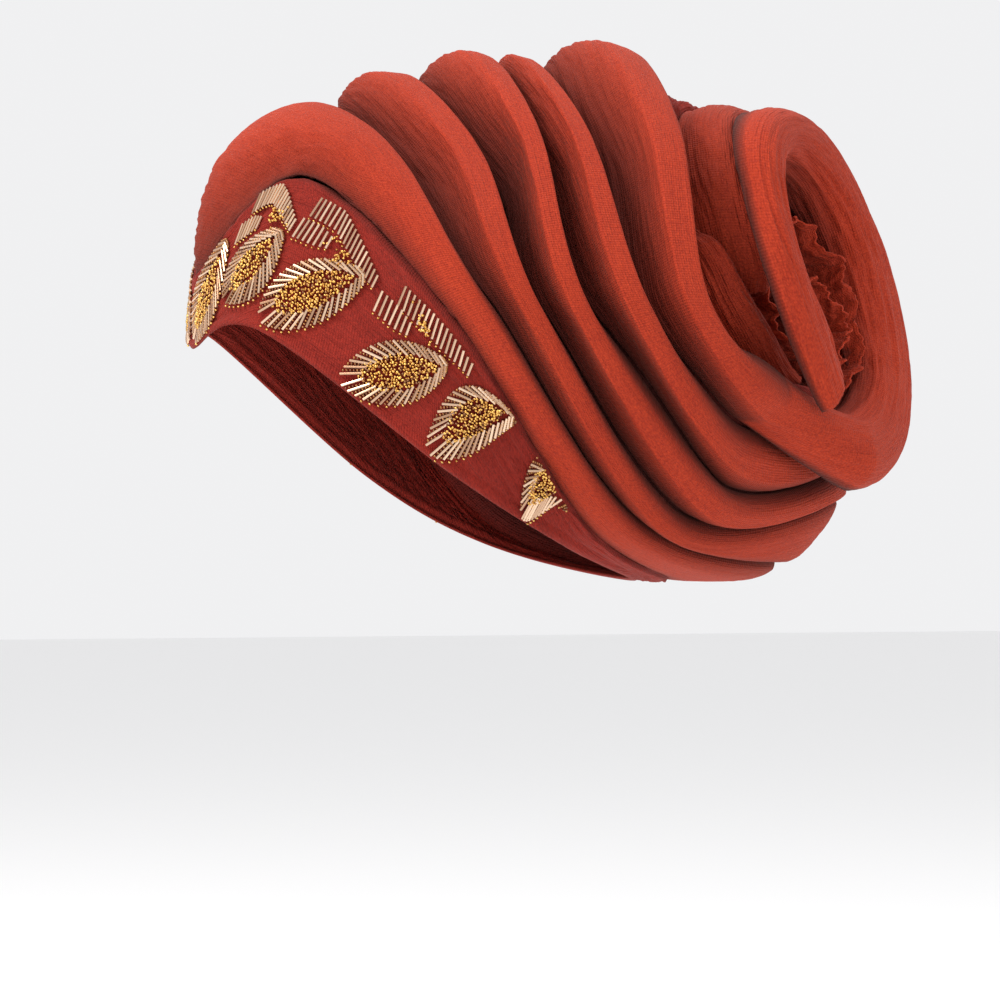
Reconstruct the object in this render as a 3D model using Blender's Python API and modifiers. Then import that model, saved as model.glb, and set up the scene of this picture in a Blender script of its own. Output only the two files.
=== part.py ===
"""Tied gele head tie: a cap of crinkled cloth under five hoop folds that gather into a rosette.

Metres, +Z up, the face looks along -Y and the wearer's left is +X. The origin is the middle of the
head opening. Run it with blender --background --python part.py, or from the text editor.
"""

import math

import bpy
import numpy as np

# Overall sizes that the shares in the tables are measured by
WRAP_LENGTH = 0.300
WRAP_WIDTH = 0.216
WRAP_HEIGHT = 0.240

# Folds, cloth and clearances
FOLD_DEPTH = 0.028
CROWN_PUFF = 0.020
REAR_LEAN = 0.0035
FOOT_SPACING = 0.0014
FOLD_CLOTH = 0.0016
CAP_CLOTH = 0.0020
PAD_THICKNESS = 0.0014
FOLD_SEAT = 0.0010
PAD_SEAT = 0.0006

# Rosette: the direction that it faces, its place and its size
ROSETTE_AZIMUTH = math.radians(48)
ROSETTE_TILT = math.radians(13)
ROSETTE_PLACE = {"half_width": 0.417, "length": 0.547, "height": 0.275}
ROSETTE_RADIUS = 0.070
ROSETTE_BACKING = 0.038

# Beadwork on the brow band
LEAF_WIDTH = 0.027
BAR_WIDTH = 0.008
LEAF_END = 0.10
LEAF_COVER = 0.12
LEAF_BELLY = 0.85
LEAF_FULLNESS = 0.80
BAND_MARGIN = 0.07

# Smoothness of the lofts, and the small step that slopes are measured over
STATIONS = 8
STEPS_PER_SPAN = 4
RING_STEPS = 2
CORE_STEPS = 4
NECK_STEPS = 3
BAR_STEPS = 3
LEAF_SHARES = (0, .12, .35, .60, .85, 1)
ROUND_ANGLES = (0, 30, 60, 90)
SMALL_STEP = 0.04

# The rear edge of each fold, and the two edges of the brow band, as a loop round the head.
# Five stations run from the crown down the left side to the low back. x is a share of half the
# wrap's width, y of its length and z of its height. The right side is the left one, set back.
FOLD_LINE_COLUMNS = (
    "crown_y", "crown_z", "upper_x", "upper_y", "upper_z", "side_x", "side_y", "side_z",
    "low_x", "low_y", "low_z", "back_y", "back_z", "setback",
)
FOLD_LINES = {
    "brim": (-.337, .188, .463, -.277, .213, .722, -.023, -.038, .611, .154, -.166, .307, -.225, .000),
    "crease": (-.337, .325, .463, -.220, .496, .889, -.043, .238, .713, .170, -.129, .367, -.233, .000),
    "pleat_1": (-.150, .629, .602, -.090, .525, .963, .000, .258, .741, .247, -.142, .533, -.217, .000),
    "pleat_2": (-.028, .688, .630, .027, .533, .981, .080, .250, .704, .323, -.138, .637, -.092, .020),
    "pleat_3": (.097, .719, .648, .110, .571, .991, .150, .250, .722, .387, -.083, .643, -.037, .050),
    "pleat_4": (.157, .721, .648, .183, .571, 1.00, .233, .263, .815, .393, .021, .643, .017, .083),
    "pleat_5": (.329, .727, .648, .320, .571, .963, .327, .267, .852, .463, .100, .673, .083, .133),
}
SETBACK_SHARES = {"low": .7, "side": 1.0, "upper": .5}

# How deep the valley is at the crease and at each fold's rear edge, as shares of FOLD_DEPTH.
# Columns: crown, upper, side, low, back
DEPTHS = (
    (.11, .11, .11, .11, .11),
    (.36, .82, .45, .36, .22),
    (.36, 1.0, .74, .40, .22),
    (.36, 1.05, .93, .42, .22),
    (.36, 1.05, .93, .48, .25),
    (.43, 1.05, .86, .52, .30),
)

# Each fold: the share of its pitch that is flat strip, how round its rear rim is, and how much
# of its puff is left. Columns: crown, upper, side, low, back
STRIP_SHARES = (.40, .42, .50, .66, .74)
REAR_ROUNDS = (.00, .00, .05, .55, .60)
PUFF_FADE = (1.0, .22, 0.0, 0.0, 0.0)
PUFF_SHARES = {1: 1.0, 2: .16, 3: .28, 4: .10, 5: .42}
PUFF_FULLNESS = 0.75

# The front face of a fold starts at this share of its depth. It bends over as a quarter round
# where its roundness is 1, is straight at 0 and hollow below 0. Columns: crown to back, as above.
# The rear face runs down from the rim. Columns: share of the lean, depth, depth if round
FRONT_START = 0.86
FRONT_ROUNDS = (1.0, -.50, -.70, .30, 1.0)
FIRST_FRONT_ROUND = 1.0
REAR_FACE = (
    (0, 0, .45),
    (.55, .40, .30),
    (1, .80, .08),
    (1, 1, 0),
)

# Where the cap has rows on the band, and where the fifth fold starts, ends and is tucked in
BAND_ROWS = (-1, -.6, -.3, -.05)
LONG_FOLD_ENDS = (-3.0, 3.0)
TUCKED_HEIGHT = 0.35
TUCK_LENGTH = 0.75
BRIDGE_PLACE = 0.5

# The gathered neck under the rosette: the angle round the rosette's axis that each station of
# the cap runs to, its radius and seat as shares of ROSETTE_RADIUS, and its swell as a share of
# the neck's length. Columns: crown, upper, side, low, back, right low, right side, right upper
NECK_ANGLES = (95, 130, 180, 222, 305, 342, 378, 416)
NECK_RADII = (1.40, .94, .78, .70, .82, 1.05, 1.15, 1.30)
NECK_SEATS = (-.54, -.42, -.36, -.42, -.52, -.54, -.54, -.54)
NECK_SWELLS = (.03, .03, .03, .00, .00, .00, .04, .05)

# Outer ring of the rosette, the end of the fifth fold, in degrees and shares of ROSETTE_RADIUS.
# Columns of the three rolls: angle, radius, half width, front, outer foot, inner foot
RING = (
    (-92, .94, .24, .20, -.06, -.12),
    (-45, .905, .30, .19, -.14, -.05),
    (0, .865, .32, .18, -.17, -.17),
    (45, .94, .23, .18, -.17, -.17),
    (90, 1.03, .19, .23, -.12, -.14),
    (128, 1.10, .18, .27, .02, -.02),
    (150, .93, .18, .27, .08, .02),
    (176, .72, .17, .27, .10, .04),
    (208, .62, .16, .26, .10, .06),
    (236, .72, .13, .24, .10, .08),
)

# Second roll of the rosette, behind the ring
BACK_ROLL = (
    (-40, .76, .13, -.22, -.50, -.50),
    (5, .96, .18, -.22, -.53, -.53),
    (40, 1.06, .19, -.21, -.53, -.53),
    (75, 1.18, .19, -.20, -.53, -.53),
    (104, 1.17, .17, -.14, -.49, -.49),
    (124, 1.00, .13, -.09, -.42, -.42),
    (143, .82, .12, -.06, -.38, -.38),
    (165, .62, .08, -.06, -.35, -.37),
)

# Flat fold between the fifth pleat and the rosette
BACK_FOLD = (
    (153, .96, .06, -.22, -.37, -.37),
    (176, .74, .11, -.17, -.35, -.37),
    (202, .57, .11, -.17, -.37, -.42),
    (250, .49, .08, -.17, -.42, -.46),
)

# The section of a roll: where its outer face starts to bend, as a share of its half width and
# of its height, and its inner face. Columns: share of the half width, share of the inner drop
ROLL_START = 0.25
ROLL_INNER_FACE = (
    (-.15, 0),
    (-.55, .10),
    (-.85, .35),
    (-1, .70),
    (-1, 1),
)

# Inner layers of the rosette: a sheet rolled up in a spiral. Columns: angle, radius, foot, rim
CORE = (
    (-100, .49, -.48, -.02),
    (-45, .49, -.50, .05),
    (10, .44, -.51, .08),
    (60, .52, -.52, .00),
    (115, .46, -.53, -.16),
    (190, .30, -.52, -.12),
    (262, .36, -.51, .06),
    (320, .30, -.53, .08),
    (380, .22, -.535, .02),
    (450, .15, -.535, -.10),
)
CORE_WAVES = 9
CORE_WAVE_DEPTH = 0.035

# The core's sheet leans inwards. Columns: share of the radius, share of the way up
CORE_LEVELS = (
    (1.06, 0),
    (1.00, .5),
    (.92, 1),
)

# Beaded leaves on the left side of the band: both ends as (rise from crease, station)
LEAF_COLUMNS = ("stalk_rise", "stalk_station", "tip_rise", "tip_station", "width")
LEAVES = (
    (-.93, .13, -.18, .50, .88),
    (-.80, .62, -.38, 1.00, .86),
    (-.93, .99, -.29, 1.51, 1.0),
    (-.93, 1.46, -.24, 1.99, 1.0),
    (-.93, 1.88, .08, 2.46, 1.0),
    (-.93, 2.52, .45, 2.84, .95),
)

# Beaded zigzag bars above the leaves: the corners of each as (rise from crease, station)
BARS = (
    ((-.14, .72), (-.15, .90), (-.31, 1.07)),
    ((-.28, .62), (-.31, .80)),
    ((-.16, 1.18), (-.14, 1.34), (-.22, 1.55)),
    ((-.33, 1.12), (-.29, 1.30)),
    ((-.12, 1.73), (-.11, 1.88), (-.12, 2.12)),
    ((-.30, 1.60), (-.28, 1.77)),
)

COLOURS = {
    "cloth": (0.53, 0.045, 0.020),
    "dark_cloth": (0.36, 0.026, 0.013),
    "beads": (0.70, 0.42, 0.20),
}


def blend_weights(t):
    """Catmull-Rom weights of the four rows round a span."""
    return 0.5 * np.array([
        -t + 2 * t ** 2 - t ** 3,
        2 - 5 * t ** 2 + 3 * t ** 3,
        t + 4 * t ** 2 - 3 * t ** 3,
        -t ** 2 + t ** 3,
    ])


def spline(rows, position):
    """A point on the smooth curve through the rows, whose ends run on straight."""
    rows = np.asarray(rows, float)
    rows = np.concatenate([2 * rows[:1] - rows[1:2], rows, 2 * rows[-1:] - rows[-2:-1]])
    span = min(max(int(math.floor(position)), 0), len(rows) - 4)
    return np.tensordot(blend_weights(position - span), rows[span:span + 4], 1)


def round_spline(rows, position):
    """A point on the smooth closed curve through the rows."""
    span = int(math.floor(position))
    near = [(span + step) % len(rows) for step in (-1, 0, 1, 2)]
    return np.tensordot(blend_weights(position - span), np.asarray(rows, float)[near], 1)


def both_sides(left):
    """Values for all eight stations from the five of the left side."""
    return tuple(left) + (left[3], left[2], left[1])


def fold_line_points(shares):
    """The eight stations of one fold line, in metres."""
    half, long, high = WRAP_WIDTH / 2, WRAP_LENGTH, WRAP_HEIGHT
    line = dict(zip(FOLD_LINE_COLUMNS, shares))
    back = line["setback"] * long
    crown = (0, line["crown_y"] * long, line["crown_z"] * high)
    upper, side, low = (
        (line[at + "_x"] * half, line[at + "_y"] * long, line[at + "_z"] * high)
        for at in ("upper", "side", "low")
    )
    rear = (0, line["back_y"] * long, line["back_z"] * high)
    left = {"low": low, "side": side, "upper": upper}
    right = [(-x, y + back * SETBACK_SHARES[at], z) for at, (x, y, z) in left.items()]
    return [crown, upper, side, low, rear] + right


LINES = np.array([fold_line_points(shares) for shares in FOLD_LINES.values()])


def envelope(row, station):
    """The surface that the fold lines lie on. Row -1 is the brim, 0 the crease, 1 to 5 the folds."""
    if row < 0:
        return round_spline((1 + row) * LINES[1] - row * LINES[0], station)
    return round_spline([spline(LINES[1:, k], row) for k in range(STATIONS)], station)


def outward(row, station):
    """The envelope's outward direction. Just behind the crease it is taken clear of the band."""
    step = SMALL_STEP
    row = row + step if 0 <= row < step else row
    along = envelope(row, station + step) - envelope(row, station - step)
    back = envelope(row + step, station) - envelope(row - step, station)
    normal = np.cross(along, back)
    return normal / np.linalg.norm(normal)


def sunk(row, station, depth):
    return envelope(row, station) - depth * outward(row, station)


def behind(number, station, distance):
    """The row that lies a distance in metres behind a fold's rear edge."""
    edge, before = envelope(number, station), envelope(number - SMALL_STEP, station)
    return number + distance * SMALL_STEP / np.linalg.norm(edge - before)


def valley(row, station):
    """How far the cap lies below the envelope."""
    row = min(max(row, 0), 5)
    if row < 1:
        row = 1 - (1 - row) ** 4
    shares = [round_spline(both_sides(line), station) for line in DEPTHS]
    below = int(min(row, 4))
    return FOLD_DEPTH * (shares[below] + (row - below) * (shares[below + 1] - shares[below]))


def rosette_axes():
    """The rosette's facing direction, and its across and upward directions."""
    turn, tilt = ROSETTE_AZIMUTH, ROSETTE_TILT
    facing = np.array([
        math.cos(turn) * math.cos(tilt), math.sin(turn) * math.cos(tilt), math.sin(tilt)
    ])
    across = np.array([-math.sin(turn), math.cos(turn), 0])
    return facing, across, np.cross(facing, across)


FACING, ACROSS, UPWARD = rosette_axes()
ROSETTE_CENTRE = np.array([
    ROSETTE_PLACE["half_width"] * WRAP_WIDTH / 2,
    ROSETTE_PLACE["length"] * WRAP_LENGTH,
    ROSETTE_PLACE["height"] * WRAP_HEIGHT,
])


def rosette_point(angle, radius, front):
    """A point by its angle in degrees, its radius and its place along the rosette's axis."""
    turn = math.radians(angle)
    across, upward = radius * math.cos(turn), radius * math.sin(turn)
    return ROSETTE_CENTRE + across * ACROSS + upward * UPWARD + front * FACING


def sheet_object(name, sections, thickness, colour, closed, pole=None, side=-1):
    """A sheet of cloth lofted through sections of equal length, with a wall."""
    sections = [list(map(tuple, section)) for section in sections]
    count, width = len(sections), len(sections[0])
    points = [point for section in sections for point in section]
    faces = []
    for j in range(count if closed else count - 1):
        here, there = j * width, (j + 1) % count * width
        for k in range(width - 1):
            faces.append((here + k, there + k, there + k + 1, here + k + 1))
        if pole is not None:
            faces.append((here + width - 1, there + width - 1, len(points)))
    if pole is not None:
        points.append(tuple(pole))
    mesh = bpy.data.meshes.new(name)
    mesh.from_pydata(points, [], faces)
    return finish_object(name, mesh, thickness, colour, side)


def finish_object(name, mesh, thickness, colour, side=-1):
    """An object in the collection, with a wall and a material of its own."""
    mesh.update()
    mesh.shade_smooth()
    thing = bpy.data.objects.new(name, mesh)
    COLLECTION.objects.link(thing)
    wall = thing.modifiers.new("wall", "SOLIDIFY")
    wall.thickness = thickness
    wall.offset = side
    material = bpy.data.materials.new(name)
    material.use_nodes = True
    shader = material.node_tree.nodes["Principled BSDF"]
    shader.inputs["Base Color"].default_value = (*COLOURS[colour], 1)
    shader.inputs["Roughness"].default_value = 0.35 if colour == "beads" else 0.85
    shader.inputs["Metallic"].default_value = 0.6 if colour == "beads" else 0.0
    mesh.materials.append(material)
    return thing


def bent(angle, roundness):
    """A quarter bend's share of its run and rise at an angle: round, straight or hollow."""
    turn = math.radians(angle)
    straight, rounded, hollow = angle / 90, 1 - math.cos(turn), math.sin(turn)
    run, rise = (rounded, hollow) if roundness > 0 else (hollow, rounded)
    bend = abs(roundness)
    return straight + bend * (run - straight), straight + bend * (rise - straight)


def fold_profile(strip, front_roundness, rear_roundness):
    """A fold's section from its front foot to its rear foot.

    Each point is its share of the pitch, its share of the rear face's lean and its depth.
    """
    profile = [(0, 0, 1)]
    for angle in ROUND_ANGLES:
        run, rise = bent(angle, front_roundness)
        profile.append(((1 - strip) * run, 0, FRONT_START * (1 - rise)))
    profile.append((1 - strip / 2, 0, 0))
    for lean, depth, round_depth in REAR_FACE:
        profile.append((1, lean, depth + round_depth * rear_roundness))
    return profile


def fold_section(number, station, rise=1.0):
    """The section of one fold at a station, in metres."""
    front = behind(number - 1, station, REAR_LEAN + FOOT_SPACING) if number > 1 else 0
    pitch = number - front
    strip = round_spline(both_sides(STRIP_SHARES), station)
    bends = [round_spline(both_sides(shares), station) for shares in (FRONT_ROUNDS, REAR_ROUNDS)]
    if number == 1:
        bends[0] = FIRST_FRONT_ROUND
    puff = CROWN_PUFF * PUFF_SHARES[number] * round_spline(both_sides(PUFF_FADE), station)
    section = []
    for share, lean, depth in fold_profile(strip, *bends):
        row = front + pitch * share
        if lean:
            row = behind(number, station, lean * REAR_LEAN)
        floor = valley(row, station)
        swell = puff * abs(math.sin(math.pi * share)) ** PUFF_FULLNESS
        section.append(sunk(row, station, floor - rise * (floor * (1 - depth) + swell)))
    return section


def roll_section(columns):
    """The section of a rosette roll, from its outer foot over its front to its inner foot."""
    angle, radius, half, front, outer_foot, inner_foot = columns
    outline = [(1, outer_foot)]
    for turn in ROUND_ANGLES:
        bend = math.radians(turn)
        rise = ROLL_START + (1 - ROLL_START) * math.sin(bend)
        out = ROLL_START + (1 - ROLL_START) * math.cos(bend)
        outline.append((out, outer_foot + rise * (front - outer_foot)))
    for out, drop in ROLL_INNER_FACE:
        outline.append((out, front - drop * (front - inner_foot)))
    size = ROSETTE_RADIUS
    return [rosette_point(angle, size * (radius + half * out), size * up) for out, up in outline]


def roll_sections(table):
    count = (len(table) - 1) * RING_STEPS
    return [roll_section(spline(table, k / RING_STEPS)) for k in range(count + 1)]


def around():
    """The stations of a closed hoop."""
    return [k / STEPS_PER_SPAN for k in range(STATIONS * STEPS_PER_SPAN)]


def make_pleats():
    for number in (1, 2, 3, 4):
        sections = [fold_section(number, station) for station in around()]
        sheet_object(f"pleat_{number}", sections, FOLD_CLOTH, "cloth", closed=True)


def make_long_fold():
    """The fifth fold, from its tucked end at the low right over the crown to the rosette's tip."""
    first, last = LONG_FOLD_ENDS
    count = round((last - first) * STEPS_PER_SPAN)
    sections = []
    for k in range(count + 1):
        climbed = min(1.0, k / STEPS_PER_SPAN / TUCK_LENGTH)
        rise = TUCKED_HEIGHT + (1 - TUCKED_HEIGHT) * climbed
        sections.append(fold_section(5, first + k / STEPS_PER_SPAN, rise))
    ring = roll_sections(RING)
    joined = np.array([sections[-2], sections[-1], ring[0], ring[1]])
    bridge = np.tensordot(blend_weights(BRIDGE_PLACE), joined, 1)
    sheet_object(
        "pleat_5_rosette", sections + [bridge] + ring, FOLD_CLOTH, "cloth", closed=False
    )


def make_cap():
    """The bag of cloth round the head, from the brim to the middle of the gathered neck."""
    sections = []
    for station in around():
        rows = [(row, 0) for row in BAND_ROWS] + [(0, 1), (.5, 1)]
        for number in (1, 2, 3, 4, 5):
            rows.append((behind(number, station, REAR_LEAN), 1))
            if number < 5:
                rows.append((behind(number, station, REAR_LEAN + FOOT_SPACING), 1))
        section = [
            sunk(row, station, below * (valley(row, station) + FOLD_SEAT)) for row, below in rows
        ]
        angle = round_angle(station)
        radius = ROSETTE_RADIUS * round_spline(NECK_RADII, station)
        seat = ROSETTE_RADIUS * round_spline(NECK_SEATS, station)
        rim = rosette_point(angle, radius, seat)
        before = section[-1]
        swell = round_spline(NECK_SWELLS, station) * np.linalg.norm(rim - before)
        lift = rosette_point(angle, 1, 1) - ROSETTE_CENTRE
        for k in range(1, NECK_STEPS + 1):
            share = k / NECK_STEPS
            arch = 4 * share * (1 - share) * swell
            section.append(before + share * (rim - before) + arch * lift)
        section.append(rosette_point(angle, radius / 2, -ROSETTE_BACKING))
        sections.append(section)
    pole = rosette_point(0, 0, -ROSETTE_BACKING)
    sheet_object("cap", sections, CAP_CLOTH, "dark_cloth", closed=True, pole=pole)


def round_angle(station):
    """The neck's angle at a station, which gains a whole turn each time round."""
    turn = 360 / STATIONS
    swings = [angle - k * turn for k, angle in enumerate(NECK_ANGLES)]
    return round_spline(swings, station) + station * turn


def make_rosette():
    """The rolls behind the outer ring and the crumpled layers inside it."""
    for name, table in (("rosette_back_roll", BACK_ROLL), ("back_fold", BACK_FOLD)):
        sheet_object(name, roll_sections(table), FOLD_CLOTH, "cloth", closed=False)
    sections = []
    count = (len(CORE) - 1) * CORE_STEPS
    for k in range(count + 1):
        angle, radius, foot, rim = spline(CORE, k / CORE_STEPS)
        radius += CORE_WAVE_DEPTH * math.sin(2 * math.pi * CORE_WAVES * k / count)
        sections.append([
            rosette_point(
                angle, ROSETTE_RADIUS * radius * out, ROSETTE_RADIUS * (foot + up * (rim - foot))
            )
            for out, up in CORE_LEVELS
        ])
    sheet_object("rosette_core", sections, FOLD_CLOTH, "dark_cloth", closed=False, side=0)


def on_band(row, station):
    """A point on the face of a pad that lies on the brow band."""
    row = min(max(row, -1 + BAND_MARGIN), -BAND_MARGIN)
    return sunk(row, station, -(PAD_SEAT + PAD_THICKNESS))


def band_step(row, station, offset):
    """The change of row and station that moves a point of the band by a sideways offset."""
    step = SMALL_STEP
    by_row = envelope(row + step, station) - envelope(row - step, station)
    by_station = envelope(row, station + step) - envelope(row, station - step)
    slopes = np.stack([by_row, by_station], 1) / (2 * step)
    return np.linalg.lstsq(slopes, offset, rcond=None)[0]


def polyline(points, position):
    """A point on the straight runs between the points."""
    span = min(int(position), len(points) - 2)
    start, end = np.array(points[span], float), np.array(points[span + 1], float)
    return start + (position - span) * (end - start)


def sideways_step(row, station, ahead, distance):
    """The change of row and station that moves a point of the band square to its path."""
    sideways = np.cross(outward(row, station), ahead)
    return band_step(row, station, sideways / np.linalg.norm(sideways) * distance)


def make_leaf(name, columns, mirrored):
    leaf = dict(zip(LEAF_COLUMNS, columns))
    side = -1 if mirrored else 1
    stalk = (leaf["stalk_rise"], side * leaf["stalk_station"])
    tip = (leaf["tip_rise"], side * leaf["tip_station"])
    ahead = envelope(*tip) - envelope(*stalk)
    shown = min(1, (leaf["stalk_rise"] + LEAF_COVER) / (leaf["stalk_rise"] - leaf["tip_rise"]))
    sections = []
    for share in (shown * k for k in LEAF_SHARES):
        belly = abs(math.sin(math.pi * share ** LEAF_BELLY)) ** LEAF_FULLNESS
        swell = LEAF_END + (1 - LEAF_END) * belly
        row, station = polyline((stalk, tip), share)
        shift = sideways_step(row, station, ahead, LEAF_WIDTH / 2 * leaf["width"] * swell)
        sections.append([
            on_band(row + at * shift[0], station + at * shift[1]) for at in (-1, 0, 1)
        ])
    sheet_object(name, sections, PAD_THICKNESS, "beads", closed=False)


def make_bar(name, corners, mirrored):
    corners = [(row, -station if mirrored else station) for row, station in corners]
    count = BAR_STEPS * (len(corners) - 1)
    path = [polyline(corners, k / BAR_STEPS) for k in range(count + 1)]
    sections = []
    for k, (row, station) in enumerate(path):
        before, after = path[max(k - 1, 0)], path[min(k + 1, count)]
        shift = sideways_step(row, station, envelope(*after) - envelope(*before), BAR_WIDTH / 2)
        sections.append([on_band(row + at * shift[0], station + at * shift[1]) for at in (-1, 1)])
    sheet_object(name, sections, PAD_THICKNESS, "beads", closed=False)


def make_beadwork():
    for side, mirrored in (("left", False), ("right", True)):
        for number, columns in enumerate(LEAVES, 1):
            make_leaf(f"leaf_{side}_{number}", columns, mirrored)
        for number, corners in enumerate(BARS, 1):
            make_bar(f"bar_{side}_{number}", corners, mirrored)


for old in list(bpy.data.objects):
    bpy.data.objects.remove(old, do_unlink=True)
COLLECTION = bpy.data.collections.new("gele_head_tie")
bpy.context.scene.collection.children.link(COLLECTION)
make_cap()
make_pleats()
make_long_fold()
make_rosette()
make_beadwork()
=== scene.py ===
"""Looks of the tied gele head tie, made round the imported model. Metres, +Z up, the face looks along -Y."""

import math

import bpy
import numpy as np
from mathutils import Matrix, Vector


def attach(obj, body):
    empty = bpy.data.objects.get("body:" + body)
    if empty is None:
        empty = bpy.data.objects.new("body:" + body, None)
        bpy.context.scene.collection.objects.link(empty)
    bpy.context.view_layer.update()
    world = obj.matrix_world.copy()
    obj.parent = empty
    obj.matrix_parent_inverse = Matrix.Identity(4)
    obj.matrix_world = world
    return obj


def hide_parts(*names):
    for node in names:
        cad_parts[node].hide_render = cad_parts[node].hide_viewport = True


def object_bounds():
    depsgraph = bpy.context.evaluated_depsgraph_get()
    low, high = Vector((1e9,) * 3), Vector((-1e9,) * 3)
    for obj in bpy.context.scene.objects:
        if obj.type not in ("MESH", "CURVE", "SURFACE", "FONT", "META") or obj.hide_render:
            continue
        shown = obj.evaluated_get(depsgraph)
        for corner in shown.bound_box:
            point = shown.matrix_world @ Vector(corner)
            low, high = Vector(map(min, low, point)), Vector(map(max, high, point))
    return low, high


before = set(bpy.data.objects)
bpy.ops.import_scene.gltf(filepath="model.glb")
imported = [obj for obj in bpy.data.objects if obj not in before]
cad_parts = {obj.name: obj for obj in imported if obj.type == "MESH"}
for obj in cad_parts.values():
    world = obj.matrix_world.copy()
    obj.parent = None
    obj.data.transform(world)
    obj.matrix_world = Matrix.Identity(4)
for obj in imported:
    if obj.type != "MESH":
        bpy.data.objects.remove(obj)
cad_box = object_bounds()

# Head bag: one length of crinkled gauze round the head, from the brow edge, under the folds, to the
# neck that is gathered below the rosette. The brow edge is rolled into a narrow hem. The cloth lies
# on five hoop lines, which the folds below share.
WRAP_LENGTH = 0.300
WRAP_WIDTH = 0.216
WRAP_HEIGHT = 0.240
FOLD_DEPTH = 0.028
REAR_LEAN = 0.0035
FOOT_SPACING = 0.0014
FOLD_SEAT = 0.0010
STATIONS = 8
SMALL_STEP = 0.04
FOLD_LINE_COLUMNS = (
    "crown_y", "crown_z", "upper_x", "upper_y", "upper_z", "side_x", "side_y", "side_z",
    "low_x", "low_y", "low_z", "back_y", "back_z", "setback",
)
FOLD_LINES = {
    "brim": (-.337, .188, .463, -.277, .213, .722, -.023, -.038, .611, .154, -.166, .307, -.225, .000),
    "crease": (-.337, .325, .463, -.220, .496, .889, -.043, .238, .713, .170, -.129, .367, -.233, .000),
    "pleat_1": (-.150, .629, .602, -.090, .525, .963, .000, .258, .741, .247, -.142, .533, -.217, .000),
    "pleat_2": (-.028, .688, .630, .027, .533, .981, .080, .250, .704, .323, -.138, .637, -.092, .020),
    "pleat_3": (.097, .719, .648, .110, .571, .991, .150, .250, .722, .387, -.083, .643, -.037, .050),
    "pleat_4": (.157, .721, .648, .183, .571, 1.00, .233, .263, .815, .393, .021, .643, .017, .083),
    "pleat_5": (.329, .727, .648, .320, .571, .963, .327, .267, .852, .463, .100, .673, .083, .133),
}
SETBACK_SHARES = {"low": .7, "side": 1.0, "upper": .5}
# Columns: crown, upper, side, low, back, as shares of FOLD_DEPTH at the crease and behind each fold
DEPTHS = (
    (.11, .11, .11, .11, .11),
    (.36, .82, .45, .36, .22),
    (.36, 1.0, .74, .40, .22),
    (.36, 1.05, .93, .42, .22),
    (.36, 1.05, .93, .48, .25),
    (.43, 1.05, .86, .52, .30),
)
ROSETTE_AZIMUTH = math.radians(48)
ROSETTE_TILT = math.radians(13)
ROSETTE_PLACE = {"half_width": 0.417, "length": 0.547, "height": 0.275}
ROSETTE_RADIUS = 0.070
ROSETTE_BACKING = 0.038
# Columns: crown, upper, side, low, back, right low, right side, right upper
NECK_ANGLES = (95, 130, 180, 222, 305, 342, 378, 416)
NECK_RADII = (1.40, .94, .78, .70, .82, 1.05, 1.15, 1.30)
NECK_SEATS = (-.54, -.42, -.36, -.42, -.52, -.54, -.54, -.54)
NECK_SWELLS = (.03, .03, .03, .00, .00, .00, .04, .05)


def bends(place):
    """Catmull-Rom weights of the four rows round a place between two rows."""
    t = place
    return np.stack([
        -t + 2 * t ** 2 - t ** 3,
        2 - 5 * t ** 2 + 3 * t ** 3,
        t + 4 * t ** 2 - 3 * t ** 3,
        -t ** 2 + t ** 3,
    ], -1) / 2


def run_on(rows):
    """The rows with one more at each end, straight on."""
    rows = np.asarray(rows, float)
    return np.concatenate([2 * rows[:1] - rows[1:2], rows, 2 * rows[-1:] - rows[-2:-1]])


def open_curve(rows, place):
    """Points on the smooth curve through the rows."""
    rows, place = run_on(rows), np.asarray(place, float)
    span = np.clip(np.floor(place).astype(int), 0, len(rows) - 4)
    weights = bends(place - span)
    weights = weights.reshape(weights.shape + (1,) * (rows.ndim - 1))
    return (weights * rows[span[..., None] + np.arange(4)]).sum(place.ndim)


def hoop_curve(rows, place):
    """Points on the smooth closed curve through the rows."""
    rows, place = np.asarray(rows, float), np.asarray(place, float)
    span = np.floor(place).astype(int)
    weights = bends(place - span)
    weights = weights.reshape(weights.shape + (1,) * (rows.ndim - 1))
    return (weights * rows[(span[..., None] + np.arange(-1, 3)) % len(rows)]).sum(place.ndim)


def both_sides(left):
    return tuple(left) + (left[3], left[2], left[1])


def fold_line_points(shares):
    """The eight stations of one fold line: crown, left side down to the back, and right side up."""
    half, long, high = WRAP_WIDTH / 2, WRAP_LENGTH, WRAP_HEIGHT
    line = dict(zip(FOLD_LINE_COLUMNS, shares))
    left = {
        at: (line[at + "_x"] * half, line[at + "_y"] * long, line[at + "_z"] * high)
        for at in ("upper", "side", "low")
    }
    right = [
        (-left[at][0], left[at][1] + line["setback"] * long * SETBACK_SHARES[at], left[at][2])
        for at in ("low", "side", "upper")
    ]
    crown = (0, line["crown_y"] * long, line["crown_z"] * high)
    back = (0, line["back_y"] * long, line["back_z"] * high)
    return [crown, left["upper"], left["side"], left["low"], back] + right


LINES = np.array([fold_line_points(shares) for shares in FOLD_LINES.values()])
FOLD_ROWS = run_on(LINES[1:])


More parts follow.
